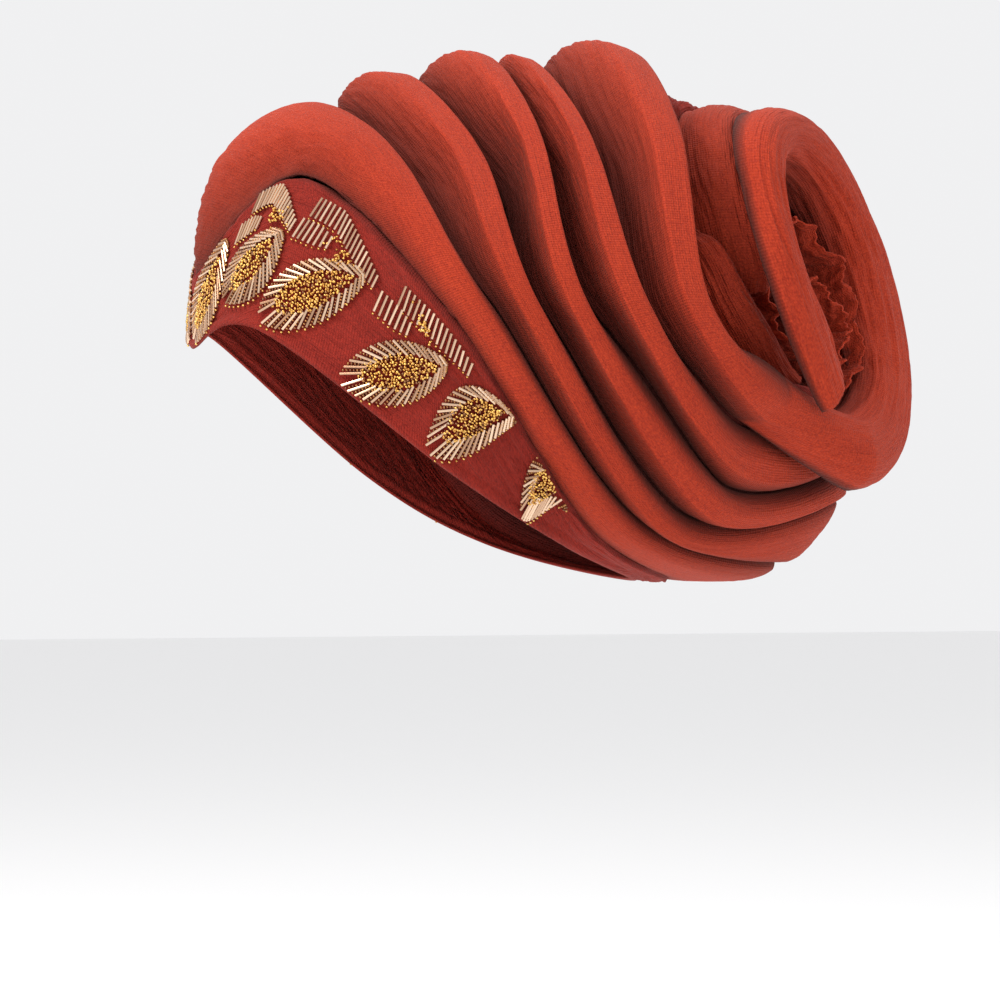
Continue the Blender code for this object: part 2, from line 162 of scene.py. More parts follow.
def envelope(row, station):
    """The surface that the hoop lines lie on. Row -1 is the brim, 0 the crease, 1 to 5 the folds."""
    row, station = np.broadcast_arrays(np.asarray(row, float), np.asarray(station, float))
    span = np.clip(np.floor(row).astype(int), 0, len(FOLD_ROWS) - 4)
    across = bends(row - span)[..., None, None]
    rows = (across * FOLD_ROWS[span[..., None] + np.arange(4)]).sum(-3)
    turn = np.floor(station).astype(int)
    near = (turn[..., None] + np.arange(-1, 3)) % STATIONS
    picked = np.take_along_axis(rows, near[..., None], -2)
    folds = (bends(station - turn)[..., None] * picked).sum(-2)
    share = row[..., None]
    band = (1 + share) * hoop_curve(LINES[1], station) - share * hoop_curve(LINES[0], station)
    return np.where(share < 0, band, folds)


def outward(row, station):
    step = SMALL_STEP
    row = np.where((row >= 0) & (row < step), row + step, row)
    along = envelope(row, station + step) - envelope(row, station - step)
    back = envelope(row + step, station) - envelope(row - step, station)
    normal = np.cross(along, back)
    return normal / np.linalg.norm(normal, axis=-1, keepdims=True)


def sunk(row, station, depth):
    """The point of the envelope at a row and station, moved in by a depth."""
    row, station, depth = np.broadcast_arrays(row, station, depth)
    return envelope(row, station) - depth[..., None] * outward(row, station)


def behind(number, station, distance):
    """The row that lies a distance behind a fold's rear edge."""
    gap = envelope(number, station) - envelope(number - SMALL_STEP, station)
    return number + distance * SMALL_STEP / np.linalg.norm(gap, axis=-1)


def valley(row, station):
    """How far the bag lies below the envelope."""
    row = np.clip(row, 0, 5)
    row = np.where(row < 1, 1 - (1 - row) ** 4, row)
    shares = [hoop_curve(both_sides(line), station) for line in DEPTHS]
    shares = np.stack(np.broadcast_arrays(*shares), -1)
    shares, row = np.broadcast_arrays(shares, row[..., None])
    row = row[..., 0]
    below = np.minimum(row, 4).astype(int)
    here = np.take_along_axis(shares, below[..., None], -1)[..., 0]
    there = np.take_along_axis(shares, below[..., None] + 1, -1)[..., 0]
    return FOLD_DEPTH * (here + (row - below) * (there - here))


def rosette_axes():
    turn, tilt = ROSETTE_AZIMUTH, ROSETTE_TILT
    facing = np.array([
        math.cos(turn) * math.cos(tilt), math.sin(turn) * math.cos(tilt), math.sin(tilt)
    ])
    across = np.array([-math.sin(turn), math.cos(turn), 0])
    return facing, across, np.cross(facing, across)


FACING, ACROSS, UPWARD = rosette_axes()
ROSETTE_CENTRE = np.array([
    ROSETTE_PLACE["half_width"] * WRAP_WIDTH / 2,
    ROSETTE_PLACE["length"] * WRAP_LENGTH,
    ROSETTE_PLACE["height"] * WRAP_HEIGHT,
])


def rosette_point(angle, radius, front):
    """Points by their angle in degrees, their radius and their place along the rosette's axis."""
    turn = np.radians(angle)
    across, upward, front = np.broadcast_arrays(
        radius * np.cos(turn), radius * np.sin(turn), front
    )
    return (ROSETTE_CENTRE + across[..., None] * ACROSS + upward[..., None] * UPWARD
            + front[..., None] * FACING)


def grain(u, v, seed, turns=0):
    """Smooth noise, about -1 to 1, on cells one unit wide. It repeats after `turns` cells of u."""
    u, v = np.broadcast_arrays(u, v)
    cell_u, cell_v = np.floor(u).astype(np.int64), np.floor(v).astype(np.int64)
    in_u, in_v = u - cell_u, v - cell_v
    fade_u, fade_v = (t ** 3 * (t * (6 * t - 15) + 10) for t in (in_u, in_v))
    total = np.zeros(u.shape)
    for step_u in (0, 1):
        for step_v in (0, 1):
            corner = (cell_u + step_u) % turns if turns else cell_u + step_u
            mixed = (corner * 73856093 + (cell_v + step_v) * 19349663 + seed * 83492791)
            mixed = mixed.astype(np.uint64) & np.uint64(0xFFFFFFFF)
            for shift, factor in ((15, 2246822519), (13, 3266489917)):
                mixed = (mixed ^ (mixed >> np.uint64(shift))) * np.uint64(factor)
                mixed &= np.uint64(0xFFFFFFFF)
            angle = (mixed ^ (mixed >> np.uint64(16))) % np.uint64(65536) * (2 * math.pi / 65536)
            pull = np.cos(angle) * (in_u - step_u) + np.sin(angle) * (in_v - step_v)
            total += pull * (fade_u if step_u else 1 - fade_u) * (fade_v if step_v else 1 - fade_v)
    return 1.5 * total


def creases(u, v, length, width, seed, round_length=0):
    """Wandering creases along u: rounded ridges from 0 to about 1, with sharp grooves between."""
    cells = max(1, round(round_length / length))
    size = round_length / cells if round_length else length
    turns = cells if round_length else 0
    drift = grain(u / size / 2 if not turns else u / size, v / width / 5, seed, turns)
    rough = np.abs(grain(u / size, v / width + 1.3 * drift, seed + 1, turns))
    return np.minimum(1, 2 * rough) ** .8


def creased(u, across, sizes, seed, whole=0):
    """Creases of several sizes together. Each size is (length, width, share, step of the seed)."""
    return sum(
        share * creases(u, across, length, width, seed + step, whole)
        for length, width, share, step in sizes
    )


def grid_normals(points, closed):
    if closed:
        along = np.roll(points, -1, 0) - np.roll(points, 1, 0)
    else:
        along = np.gradient(points, axis=0)
    normals = np.cross(along, np.gradient(points, axis=1))
    return normals / np.maximum(np.linalg.norm(normals, axis=-1, keepdims=True), 1e-12)


def soften(points, times):
    """Rounds the corners of each section, whose ends stay."""
    for _ in range(times):
        points[:, 1:-1] = (points[:, :-2] + 2 * points[:, 1:-1] + points[:, 2:]) / 4
    return points


def lengths(points, closed, rim):
    """How far each point lies along the cloth and across it, from the rim, in metres."""
    steps = np.linalg.norm(np.diff(points, axis=1), axis=-1)
    across = np.concatenate([np.zeros((len(points), 1)), np.cumsum(steps, 1)], 1)
    across -= across[:, rim:rim + 1]
    line = points[:, rim]
    after = np.roll(line, -1, 0) if closed else line[1:]
    gaps = np.linalg.norm(after - line[:len(after)], axis=-1)
    run = np.concatenate([[0], np.cumsum(gaps)])
    if closed:
        run = np.linspace(0, round(run[-1], 3), len(points) + 1)
    return run, across


def cloth_mesh(name, points, run, across, painted_shade, closed, pole=None):
    """A mesh of the grid, with a UV map in metres of cloth and attributes for its pattern and its painted
    shade.
    """
    count, width = points.shape[:2]
    rows = count if closed else count - 1
    j, k = np.meshgrid(np.arange(rows), np.arange(width - 1), indexing="ij")
    after = (j + 1) % count
    faces = np.stack([j * width + k, after * width + k, after * width + k + 1, j * width + k + 1])
    faces = faces.reshape(4, -1).T.tolist()
    u = np.stack([run[j], run[j + 1], run[j + 1], run[j]]).reshape(4, -1).T
    v = np.stack([across[j, k], across[after, k], across[after, k + 1], across[j, k + 1]])
    uv = np.stack([u, v.reshape(4, -1).T], -1).reshape(-1, 2)
    flat = points.reshape(-1, 3)
    angle = run[:count] / run[-1] * 2 * math.pi
    radius = run[-1] / (2 * math.pi)
    lie = np.stack(np.broadcast_arrays(
        radius * np.cos(angle)[:, None], radius * np.sin(angle)[:, None], across
    ), -1).reshape(-1, 3)
    painted_shade = np.broadcast_to(painted_shade, (count, width)).reshape(-1)
    if pole is not None:
        last = np.arange(rows) * width + width - 1
        tips = np.stack([last, (np.arange(rows) + 1) % count * width + width - 1])
        faces += [[a, b, len(flat)] for a, b in tips.T.tolist()]
        end = across[:, -1]
        tip_uv = [
            [(run[a], end[a]), (run[a + 1], end[(a + 1) % count]), (run[a], end[a] + .01)]
            for a in range(rows)
        ]
        uv = np.concatenate([uv, np.array(tip_uv).reshape(-1, 2)])
        flat = np.concatenate([flat, [pole]])
        lie = np.concatenate([lie, [[0, 0, end.mean()]]])
        painted_shade = np.concatenate([painted_shade, painted_shade[-1:]])
    mesh = bpy.data.meshes.new(name)
    mesh.from_pydata(flat.tolist(), [], faces)
    mesh.uv_layers.new(name="cloth").data.foreach_set("uv", uv.astype(np.float32).ravel())
    mesh.attributes.new("lie", "FLOAT_VECTOR", "POINT").data.foreach_set(
        "vector", lie.astype(np.float32).ravel()
    )
    mesh.attributes.new("painted_shade", "FLOAT", "POINT").data.foreach_set(
        "value", painted_shade.astype(np.float32)
    )
    mesh.shade_smooth()
    return mesh


def cut_size(run, across):
    """Width and length of the straight strip of cloth that a piece takes."""
    return float((across[:, -1] - across[:, 0]).mean()), float(run[-1])


def cloth_piece(name, mesh, material, wall, side=-1):
    """A sheet of cloth with its wall, in the scene."""
    piece = bpy.data.objects.new(name, mesh)
    bpy.context.scene.collection.objects.link(piece)
    mesh.materials.append(material)
    thickness = piece.modifiers.new("wall", "SOLIDIFY")
    thickness.thickness = wall
    thickness.offset = side
    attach(piece, "root")
    return piece


def socket(group, name, kind, into=True, value=None):
    made = group.interface.new_socket(
        name, in_out="INPUT" if into else "OUTPUT", socket_type=kind
    )
    if value is not None:
        made.default_value = value


def wire(tree, source, target):
    tree.links.new(source, target)


def add(tree, kind, **settings):
    node = tree.nodes.new(kind)
    for name, value in settings.items():
        setattr(node, name, value)
    return node


def feed(tree, node, values):
    """Sets a node's inputs by index or name: a socket is linked, anything else is its value."""
    for key, value in values.items():
        if isinstance(value, bpy.types.NodeSocket):
            tree.links.new(value, node.inputs[key])
        else:
            node.inputs[key].default_value = value
    return node


def maths(tree, operation, a, b=0.0, clamp=False):
    node = add(tree, "ShaderNodeMath", operation=operation, use_clamp=clamp)
    return feed(tree, node, {0: a, 1: b}).outputs[0]


def noise(tree, vector, scale, detail=2.0, roughness=.5):
    node = add(tree, "ShaderNodeTexNoise")
    return feed(tree, node, {
        "Vector": vector, "Scale": scale, "Detail": detail, "Roughness": roughness
    }).outputs["Fac"]


def stretched(tree, vector, scale):
    node = add(tree, "ShaderNodeVectorMath", operation="MULTIPLY")
    return feed(tree, node, {0: vector, 1: scale}).outputs[0]


def between(tree, factor, low, high):
    """A colour between two colours."""
    node = add(tree, "ShaderNodeMix", data_type="RGBA")
    return feed(tree, node, {"Factor": factor, 6: low, 7: high}).outputs[2]


def gauze_group():
    """Crinkled gauze: threads, crimps along the cloth and a cloudy dye, from UV and attributes, with painted
    shade where the cloth lies deep in the folds.
    """
    group = bpy.data.node_groups.new("gauze", "ShaderNodeTree")
    socket(group, "Light Dye", "NodeSocketColor")
    socket(group, "Dark Dye", "NodeSocketColor")
    socket(group, "Threads", "NodeSocketFloat", value=5600.0)
    socket(group, "Crimp", "NodeSocketFloat", value=1.0)
    socket(group, "Color", "NodeSocketColor", into=False)
    socket(group, "Roughness", "NodeSocketFloat", into=False)
    socket(group, "Height", "NodeSocketFloat", into=False)
    inside = add(group, "NodeGroupInput").outputs
    lie = add(group, "ShaderNodeAttribute", attribute_name="lie").outputs["Vector"]
    painted_shade = add(group, "ShaderNodeAttribute", attribute_name="painted_shade").outputs["Fac"]
    uv = add(group, "ShaderNodeUVMap", uv_map="cloth").outputs["UV"]
    split = feed(group, add(group, "ShaderNodeSeparateXYZ"), {0: uv}).outputs
    slack = noise(group, stretched(group, lie, (60, 60, 60)), 1.0)
    warp = maths(group, "SINE", maths(
        group, "ADD",
        maths(group, "MULTIPLY", split[0], inside["Threads"]), maths(group, "MULTIPLY", slack, 9.0)
    ))
    weft = maths(group, "SINE", maths(
        group, "ADD",
        maths(group, "MULTIPLY", split[1], inside["Threads"]), maths(group, "MULTIPLY", slack, 7.0)
    ))
    weave = maths(group, "MULTIPLY", maths(group, "ADD", warp, weft), .25)
    crimps = noise(group, stretched(group, lie, (45, 45, 620)), 1.0, 3.0, .55)
    specks = noise(group, stretched(group, lie, (950, 950, 1300)), 1.0, 2.0, .6)
    clouds = noise(group, stretched(group, lie, (14, 14, 40)), 1.0, 3.0, .55)
    height = maths(group, "ADD", weave, maths(group, "MULTIPLY", specks, 1.1))
    height = maths(group, "ADD", height, maths(
        group, "MULTIPLY", crimps, maths(group, "MULTIPLY", inside["Crimp"], 2.6)
    ))
    # The mix follows the clouds of the dye and also the specks and crimps of the height, so the cloth is
    # lighter where its surface rises and darker in its grooves: painted light and painted shade on the
    # crinkles, over a speckled, cloudy dye.
    mix = maths(group, "ADD", maths(group, "MULTIPLY", specks, 1.9), maths(group, "MULTIPLY", clouds, .5))
    mix = maths(group, "ADD", mix, maths(group, "MULTIPLY", crimps, .5))
    mix = maths(group, "SUBTRACT", mix, .98, clamp=True)
    dye_and_painted_shading = between(group, mix, inside["Dark Dye"], inside["Light Dye"])
    # Painted shade: the colour is mixed towards near black where the cloth lies deep in a fold or valley,
    # standing in for the shade there.
    painted_valley_shade = maths(group, "MULTIPLY", maths(group, "POWER", painted_shade, .65), .97, clamp=True)
    dye_and_painted_shading = between(group, painted_valley_shade, dye_and_painted_shading, (.035, .006, .004, 1))
    outside = add(group, "NodeGroupOutput")
    feed(group, outside, {
        "Color": dye_and_painted_shading, "Height": height,
        "Roughness": maths(group, "ADD", maths(group, "MULTIPLY", specks, .2), .68),
    })
    return group


GAUZE = gauze_group()


def gauze(name, light, dark, crimp):
    """Dyed crinkled gauze with painted shade in its folds, matt with a soft sheen."""
    material = bpy.data.materials.new(name)
    material.use_nodes = True
    tree = material.node_tree
    shader = tree.nodes["Principled BSDF"]
    cloth = feed(tree, add(tree, "ShaderNodeGroup", node_tree=GAUZE), {
        "Light Dye": (*light, 1), "Dark Dye": (*dark, 1), "Crimp": crimp
    })
    bump = feed(tree, add(tree, "ShaderNodeBump"), {
        "Height": cloth.outputs["Height"], "Distance": .00030, "Strength": 1.0
    })
    feed(tree, shader, {
        "Base Color": cloth.outputs["Color"], "Roughness": cloth.outputs["Roughness"],
        "Normal": bump.outputs[0], "Sheen Weight": .08, "Sheen Roughness": .4,
        "Sheen Tint": (1, .45, .35, 1), "Specular IOR Level": .25,
    })
    return material


red_gauze = gauze("red_gauze", (.54, .050, .014), (.30, .018, .005), 1.0)
# The bag's gauze is the folds' cloth given darker dyes: a shaded copy of the red, painted shade.
bag_gauze_painted_shade = gauze("bag_gauze_painted_shade", (.36, .024, .012), (.17, .008, .004), 1.6)

BAG_COLUMNS = 232
BAG_WALL = 0.0012
BAND_STEPS, VALLEY_STEPS, NECK_STEPS = 52, 36, 40
HEM_WIDTH = 0.0045
HEM_SWELL = 0.0009
HEM_ROUNDNESS = 0.42
# The groove behind the hem, as shares of the hem: depth, place and roundness
HEM_GROOVE = (.7, 1.25, .25)
CRINKLE_START = 0.004
CRINKLE_DEPTH = 0.0010
# Columns: length and width of the creases, share of their depth, step of the seed
BAND_CREASES = ((.030, .0042, 1.0, 0), (.012, .0020, .4, 4))
BAND_LEVEL = 0.7
# Darkness of the painted shade on the bag where it dips under the folds
UNDER_SHADE = 0.9
GATHER_COUNT = 46
GATHER_DEPTH = 0.0034


def bag_grid():
    """The bag from the brim over the valley floors to the middle of the neck."""
    station = np.arange(BAG_COLUMNS)[:, None] * STATIONS / BAG_COLUMNS
    band = np.linspace(-1, -.04, BAND_STEPS)[None]
    floor = np.linspace(0, 1, VALLEY_STEPS)[None] * behind(5, station, REAR_LEAN)
    parts = [
        sunk(band, station, 0.0 * station * band),
        sunk(floor, station, valley(floor, station) + FOLD_SEAT),
    ]
    around = np.arange(STATIONS) * 360 / STATIONS
    angle = hoop_curve(np.array(NECK_ANGLES) - around, station) + station * 360 / STATIONS
    radius = ROSETTE_RADIUS * hoop_curve(NECK_RADII, station)
    seat = ROSETTE_RADIUS * hoop_curve(NECK_SEATS, station)
    rim = rosette_point(angle, radius, seat)
    start = parts[1][:, -1:]
    share = np.linspace(0, 1, NECK_STEPS + 1)[None, 1:, None]
    arch = 4 * share * (1 - share) * hoop_curve(NECK_SWELLS, station)[..., None]
    lift = rosette_point(angle, 1, 1) - ROSETTE_CENTRE
    reach = np.linalg.norm(rim - start, axis=-1, keepdims=True)
    parts.append(start + share * (rim - start) + arch * reach * lift)
    inward = np.linspace(1, .08, NECK_STEPS // 2 + 1)[None, 1:]
    depth = seat + (1 - inward) / .5 * (-ROSETTE_BACKING - seat)
    parts.append(rosette_point(angle, radius * inward, np.maximum(depth, -ROSETTE_BACKING)))
    return soften(np.concatenate(parts, 1), 2)


def bag_heights(points, run, across):
    """Hem, crinkles of the band and gathers of the neck, as heights over the plain bag."""
    count, width = points.shape[:2]
    u, whole = run[:count, None], run[-1]
    on_band = across - across[:, :1]
    hem = HEM_SWELL * np.exp(-((on_band - HEM_WIDTH / 2) / (HEM_WIDTH * HEM_ROUNDNESS)) ** 4)
    depth, middle, roundness = HEM_GROOVE
    groove = depth * HEM_SWELL * np.exp(-((on_band / HEM_WIDTH - middle) / roundness) ** 2)
    flat = np.clip((on_band - HEM_WIDTH) / CRINKLE_START, 0, 1)
    crinkles = creased(u, across, BAND_CREASES, 11, whole) - BAND_LEVEL
    heights = hem - groove + flat * CRINKLE_DEPTH * crinkles
    place = np.arange(width)[None]
    neck = np.clip((place - BAND_STEPS - VALLEY_STEPS) / NECK_STEPS, 0, 1.2)
    cells = np.arange(count)[:, None] * GATHER_COUNT / count
    gathers = np.abs(grain(cells, neck * 1.6, 21, GATHER_COUNT))
    fine = np.abs(grain(cells * 3, neck * 3, 23, GATHER_COUNT * 3))
    return heights + GATHER_DEPTH * np.clip(neck * 2 - .5, 0, 1) * (gathers + .35 * fine - .4)


def make_bag():
    points = bag_grid()
    run, across = lengths(points, True, BAND_STEPS)
    points += bag_heights(points, run, across)[..., None] * grid_normals(points, True)
    # Painted shade: the cloth is painted darker where it dips under the folds
    place = np.arange(points.shape[1])
    neck = BAND_STEPS + VALLEY_STEPS
    painted_shade_under_folds = np.clip((place - BAND_STEPS + 3) / 6, 0, 1) * np.clip((neck - 2 - place) / 8, 0, 1)
    pole = rosette_point(0, 0, -ROSETTE_BACKING)
    mesh = cloth_mesh("head_bag", points, run, across, painted_shade_under_folds * UNDER_SHADE, True, pole)
    bag = cloth_piece("head_bag", mesh, bag_gauze_painted_shade, BAG_WALL)
    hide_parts("cap")
    return bag, cut_size(run, across)


head_bag, BAG_CUT = make_bag()

# Hoop folds: four deep folds of the same cloth, pinned one behind the other over the bag. Each has a
# puffed, crinkled front face, a flat strip along its rear rim and a steep rear face, and turns into
# a soft round tube at the low back of the head.
CROWN_PUFF = 0.020
FOLD_WALL = 0.0009
STRIP_SHARES = (.40, .42, .50, .66, .74)
REAR_ROUNDS = (.00, .00, .05, .55, .60)
PUFF_FADE = (1.0, .22, 0.0, 0.0, 0.0)
PUFF_SHARES = {1: 1.0, 2: .16, 3: .28, 4: .10, 5: .42}
PUFF_FULLNESS = 0.75
FRONT_START = 0.86
# Columns: crown, upper, side, low, back, from a straight front face to a quarter round
FRONT_ROUNDS = (1.0, -.50, -.70, .30, 1.0)
FIRST_FRONT_ROUND = 1.0
# Columns: share of the rear face's lean, depth, depth if the rim is round
REAR_FACE = ((0, 0, .45), (.55, .40, .30), (1, .80, .08), (1, 1, 0))
FRONT_STEPS, STRIP_STEPS, REAR_STEPS = 50, 16, 20
FOLD_COLUMNS = 224
# Columns: crown, upper, side, low, back, as the depth of the creases on the front face
CRUMPLE = (1.0, 1.0, .55, .30, .25)
CRUMPLE_DEPTH = 0.0013
STRIP_CRUMPLE = 0.16
# Columns: length and width of the creases, share of their depth, step of the seed
FOLD_CREASES = ((.052, .0062, .6, 0), (.034, .0026, .5, 20), (.020, .0012, .25, 40))
FOLD_LEVEL = 0.65
# Steps over which the creases start at the foot, and fade beyond the front face
FOOT_FADE = 8
RIM_REACH = 6
RIM_FADE = 14
FOOT_REACH = 0.12


def fold_points(number, station, rise=1.0):
    """The grid of one fold: each station's section, from the front foot over the rim to the rear."""
    station = station[:, None]
    front = behind(number - 1, station, REAR_LEAN + FOOT_SPACING) if number > 1 else 0 * station
    strip = hoop_curve(both_sides(STRIP_SHARES), station)
    roundness = hoop_curve(both_sides(REAR_ROUNDS), station)
    puff = CROWN_PUFF * PUFF_SHARES[number] * hoop_curve(both_sides(PUFF_FADE), station)
    turn = np.linspace(-FOOT_REACH, 1, FRONT_STEPS, endpoint=False)[None]
    bend = np.clip(turn, 0, 1) * math.pi / 2
    rounded = hoop_curve(both_sides(FRONT_ROUNDS), station)
    if number == 1:
        rounded = FIRST_FRONT_ROUND + 0 * station
    climb = np.clip(turn, 0, 1)
    run = np.where(rounded > 0, 1 - np.cos(bend), np.sin(bend))
    rise_share = np.where(rounded > 0, np.sin(bend), 1 - np.cos(bend))
    share = [(1 - strip) * (climb + np.abs(rounded) * (run - climb))]
    slope = FRONT_START * (1 - climb - np.abs(rounded) * (rise_share - climb))
    depth = [np.where(turn < 0, FRONT_START - (1 - FRONT_START) * turn / FOOT_REACH, slope)]
    over = np.linspace(0, 1, STRIP_STEPS, endpoint=False)[None]
    share.append(1 - strip + strip * over)
    depth.append(REAR_FACE[0][2] * roundness * np.clip(2 * over - 1, 0, 1) ** 2)
    down = np.linspace(0, len(REAR_FACE) - 1, REAR_STEPS)[None]
    knots = np.arange(len(REAR_FACE))
    lean, drop, round_drop = (np.interp(down, knots, column) for column in zip(*REAR_FACE))
    share.append(1 + 0 * station * down)
    depth.append(drop + round_drop * roundness)
    share, depth = np.concatenate(share, 1), np.concatenate(depth, 1)
    row = front + (number - front) * share
    leaning = behind(number, station, 0) + (behind(number, station, REAR_LEAN) - number) * lean
    row[:, -REAR_STEPS:] = leaning
    floor = valley(row, station)
    swell = puff * np.abs(np.sin(math.pi * share)) ** PUFF_FULLNESS
    lifted = floor - rise * (floor * (1 - depth) + swell)
    return sunk(row, station, lifted), depth


def crease_strength(place, local):
    """Strong creases on the front face and faint ones on the strip, from none at the foot."""
    front = np.clip((FRONT_STEPS + RIM_REACH - place) / RIM_FADE, 0, 1)
    return np.clip(place / FOOT_FADE, 0, 1) * (STRIP_CRUMPLE + (local - STRIP_CRUMPLE) * front)


def fold_heights(number, station, run, across):
    """Creases along the fold: deep ones on the front face, fine ones on the strip."""
    local = hoop_curve(both_sides(CRUMPLE), station)[:, None]
    strength = crease_strength(np.arange(across.shape[1])[None], local)
    u = run[:len(station), None]
    layers = creased(u, across, FOLD_CREASES, 31 + number, run[-1]) - FOLD_LEVEL
    return CRUMPLE_DEPTH * strength * layers


def make_fold(number):
    station = np.arange(FOLD_COLUMNS) * STATIONS / FOLD_COLUMNS
    points, depth = fold_points(number, station)
    points = soften(points, 2)
    run, across = lengths(points, True, FRONT_STEPS + STRIP_STEPS)
    heights = fold_heights(number, station, run, across)
    points += heights[..., None] * grid_normals(points, True)
    # Painted shade: the fold's depth is passed as shade, so its faces darken down into the valley.
    mesh = cloth_mesh(f"pleat_{number}", points, run, across, depth, True)
    fold = cloth_piece(f"hoop_fold_{number}", mesh, red_gauze, FOLD_WALL)
    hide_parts(f"pleat_{number}")


for number in (1, 2, 3, 4):
    make_fold(number)

# Fifth fold and rosette ring: one long fold. It starts tucked in at the low right, runs over the
# crown and down the left side, and its end is led under and round the gathered neck as the outer
# ring of the rosette.
LONG_FOLD_ENDS = (-3.0, 3.0)
TUCKED_HEIGHT = 0.35
TUCK_LENGTH = 0.75
COARSE_STEP = 0.25
# Columns: angle, radius, half width, front, outer foot, inner foot
RING = (
    (-92, .94, .24, .20, -.06, -.12),
    (-45, .905, .30, .19, -.14, -.05),
    (0, .865, .32, .18, -.17, -.17),
    (45, .94, .23, .18, -.17, -.17),
    (90, 1.03, .19, .23, -.12, -.14),
    (128, 1.10, .18, .27, .02, -.02),
    (150, .93, .18, .27, .08, .02),
    (176, .72, .20, .27, .10, .04),
    (208, .64, .20, .26, .10, .06),
    (236, .72, .18, .24, .10, .08),
)
ROLL_START = 0.25
# Columns: share of the half width, share of the inner drop
ROLL_INNER_FACE = ((.25, 0), (-.15, 0), (-.55, .10), (-.85, .35), (-1, .70), (-1, 1))
RING_STEP = 0.055
LONG_FOLD_COLUMNS = 180
BRIDGE_COLUMNS = 12
RING_CREASES = ((.060, .0062, .6, 0), (.040, .0026, .5, 20), (.020, .0012, .25, 40))
RING_CRUMPLE = 0.7
RING_INNER_CRUMPLE = 1.3
# Columns of the grid over which the ring's creases deepen, and steps over which its inner side does
RING_FADE = 30
INNER_FADE = 24
# Steps of the grid that get painted shade at the outer and the inner foot
RING_FEET = (12, 16)
# Depth of the painted shade at the ring's inner foot
RING_INNER_SHADE = 0.7


def roll_points(table, place):
    """The grid of a rosette roll: sections from the outer foot over the front to the inner foot."""
    columns = open_curve(table, place)[:, :, None]
    angle, radius, half, front, outer_foot, inner_foot = (columns[:, k] for k in range(6))
    turn = np.linspace(-.2, 1, FRONT_STEPS, endpoint=False)[None]
    bend = np.clip(turn, 0, 1) * math.pi / 2
    climb = ROLL_START * np.clip(1 + turn / .2, 0, 1) + (1 - ROLL_START) * np.sin(bend)
    out = [ROLL_START + (1 - ROLL_START) * np.cos(bend) + 0 * angle]
    up = [outer_foot + climb * (front - outer_foot)]
    down = np.linspace(0, len(ROLL_INNER_FACE) - 1, STRIP_STEPS + REAR_STEPS)[None]
    knots = np.arange(len(ROLL_INNER_FACE))
    inner, drop = (np.interp(down, knots, column) for column in zip(*ROLL_INNER_FACE))
    out.append(inner + 0 * angle)
    up.append(front - drop * (front - inner_foot))
    out, up = np.concatenate(out, 1), np.concatenate(up, 1)
    size = ROSETTE_RADIUS
    return rosette_point(angle, size * (radius + half * out), size * up)


def long_fold_points(station):
    """The fold, a bridge of cloth and the ring as one grid, with the depth of the fold's part."""
    first, last = LONG_FOLD_ENDS
    tuck = np.clip((station - first) / TUCK_LENGTH, 0, 1)
    rise = (TUCKED_HEIGHT + (1 - TUCKED_HEIGHT) * tuck)[:, None]
    fold, depth = fold_points(5, station, rise)
    ring = roll_points(RING, np.arange(0, len(RING) - 1, RING_STEP))
    ends = [
        fold_points(5, np.array([last - COARSE_STEP]))[0][0], fold[-1], ring[0],
        roll_points(RING, np.array([.5]))[0],
    ]
    share = np.linspace(0, 1, BRIDGE_COLUMNS + 2)[1:-1]
    bridge = np.einsum("nk,kvc->nvc", bends(share), np.array(ends))
    return soften(np.concatenate([fold, bridge, ring]), 2), depth


def long_fold_strength(station, count, width):
    """The depth of the creases: as on the other folds, and deeper round the ring's inner side."""
    place = np.arange(width)[None]
    local = hoop_curve(both_sides(CRUMPLE), np.pad(station, (0, count - len(station)), "edge"))
    on_ring = np.clip((np.arange(count)[:, None] - len(station)) / RING_FADE, 0, 1)
    inner = np.clip((place - FRONT_STEPS) / INNER_FADE, 0, 1)
    round_ring = RING_CRUMPLE + RING_INNER_CRUMPLE * inner
    return crease_strength(place, local[:, None]) * (1 - on_ring) + on_ring * round_ring


def ring_shade(width):
    """Painted shade of the ring: dark at its outer foot, and darker towards its inner foot."""
    outer, inner = RING_FEET
    painted_shade = np.zeros(width)
    painted_shade[:outer] = 1 - np.arange(outer) / outer
    painted_shade[-inner:] = np.linspace(0, RING_INNER_SHADE, inner)
    return painted_shade


def make_long_fold():
    station = np.linspace(*LONG_FOLD_ENDS, LONG_FOLD_COLUMNS)
    points, depth = long_fold_points(station)
    count, width = points.shape[:2]
    run, across = lengths(points, False, FRONT_STEPS + STRIP_STEPS)
    strength = long_fold_strength(station, count, width)
    layers = creased(run[:, None], across, RING_CREASES, 36) - FOLD_LEVEL
    points += (CRUMPLE_DEPTH * strength * layers)[..., None] * grid_normals(points, False)
    # Painted shade: the fold's depth, then the ring's painted shade at its feet
    after = np.broadcast_to(ring_shade(width), (count - len(depth), width))
    painted_shade = np.concatenate([depth, after])
    mesh = cloth_mesh("long_fold", points, run, across, painted_shade, False)
    fold = cloth_piece("long_fold_and_ring", mesh, red_gauze, FOLD_WALL)
    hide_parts("pleat_5_rosette")


make_long_fold()

